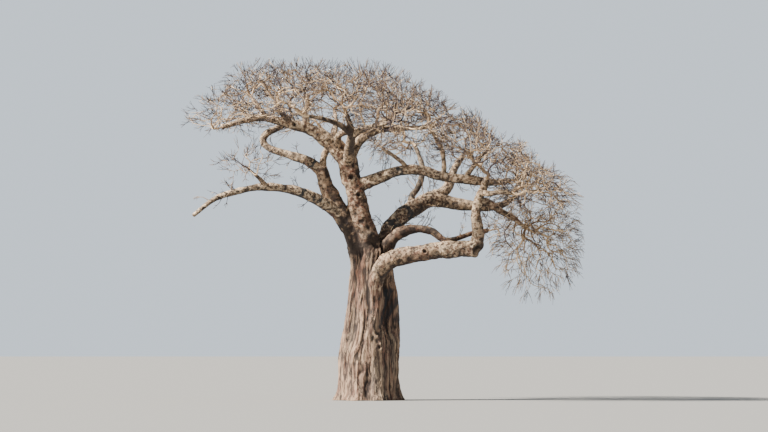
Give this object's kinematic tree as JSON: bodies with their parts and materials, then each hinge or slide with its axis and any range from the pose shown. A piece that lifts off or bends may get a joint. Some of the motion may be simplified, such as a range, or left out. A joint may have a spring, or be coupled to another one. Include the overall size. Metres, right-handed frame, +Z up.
{
  "type": "baobab tree",
  "caption": "Bare baobab tree with a thick fluted trunk, heavy bending boughs and a wide leafless crown of twigs.",
  "frame": {"origin": "middle of the flat cut under the trunk, at ground level", "axes": "+Z up the trunk, +X to the right and +Y away as the tree is usually seen"},
  "size_m": [17.0527, 13.9558, 14.7626],
  "materials": {
    "trunk_bark": "folded grey-brown bark, matte",
    "bough_bark": "wrinkled tan bark, matte",
    "twig_bark": "bare weathered twigs, matte"
  },
  "bodies": {
    "root": {"trunk": "trunk_bark", "centre_bough": "bough_bark", "left_bough": "bough_bark", "right_rear_bough": "bough_bark", "right_low_bough": "bough_bark", "dipping_bough": "bough_bark", "rear_bough": "bough_bark", "left_low_bough": "bough_bark", "left_low_riser": "bough_bark", "left_hook_lower": "bough_bark", "left_thin_limb": "bough_bark", "top_left_bough": "bough_bark", "top_left_riser": "bough_bark", "high_left_riser": "bough_bark", "front_left_riser": "bough_bark", "back_left_limb": "bough_bark", "pale_cross_limb": "bough_bark", "top_right_limb": "bough_bark", "top_right_outer": "bough_bark", "front_limb": "bough_bark", "front_left_limb": "bough_bark", "front_right_limb": "bough_bark", "right_middle_bough": "bough_bark", "middle_spur": "bough_bark", "middle_riser": "bough_bark", "outer_riser": "bough_bark", "rear_riser": "bough_bark", "rear_low_limb": "bough_bark", "dark_upright_limb": "bough_bark", "right_hanging_limb": "bough_bark", "right_outer_limb": "bough_bark", "right_upright_bough": "bough_bark", "left_hook_upper": "bough_bark", "far_left_twigs": "twig_bark", "left_top_twigs": "twig_bark", "left_back_twigs": "twig_bark", "left_front_twigs": "twig_bark", "high_left_twigs": "twig_bark", "hook_twigs": "twig_bark", "high_back_twigs": "twig_bark", "rear_left_twigs": "twig_bark", "rear_right_twigs": "twig_bark", "far_rear_twigs": "twig_bark", "right_back_twigs": "twig_bark", "right_end_twigs": "twig_bark", "right_outer_twigs": "twig_bark", "right_front_twigs": "twig_bark", "outer_top_twigs": "twig_bark", "right_top_twigs": "twig_bark", "middle_top_twigs": "twig_bark", "centre_top_twigs": "twig_bark", "centre_front_twigs": "twig_bark", "front_top_twigs": "twig_bark", "front_left_twigs": "twig_bark", "front_right_twigs": "twig_bark", "middle_spur_twigs": "twig_bark", "low_left_twigs": "twig_bark", "hanging_twigs": "twig_bark", "low_right_twigs": "twig_bark"}
  },
  "joints": []
}
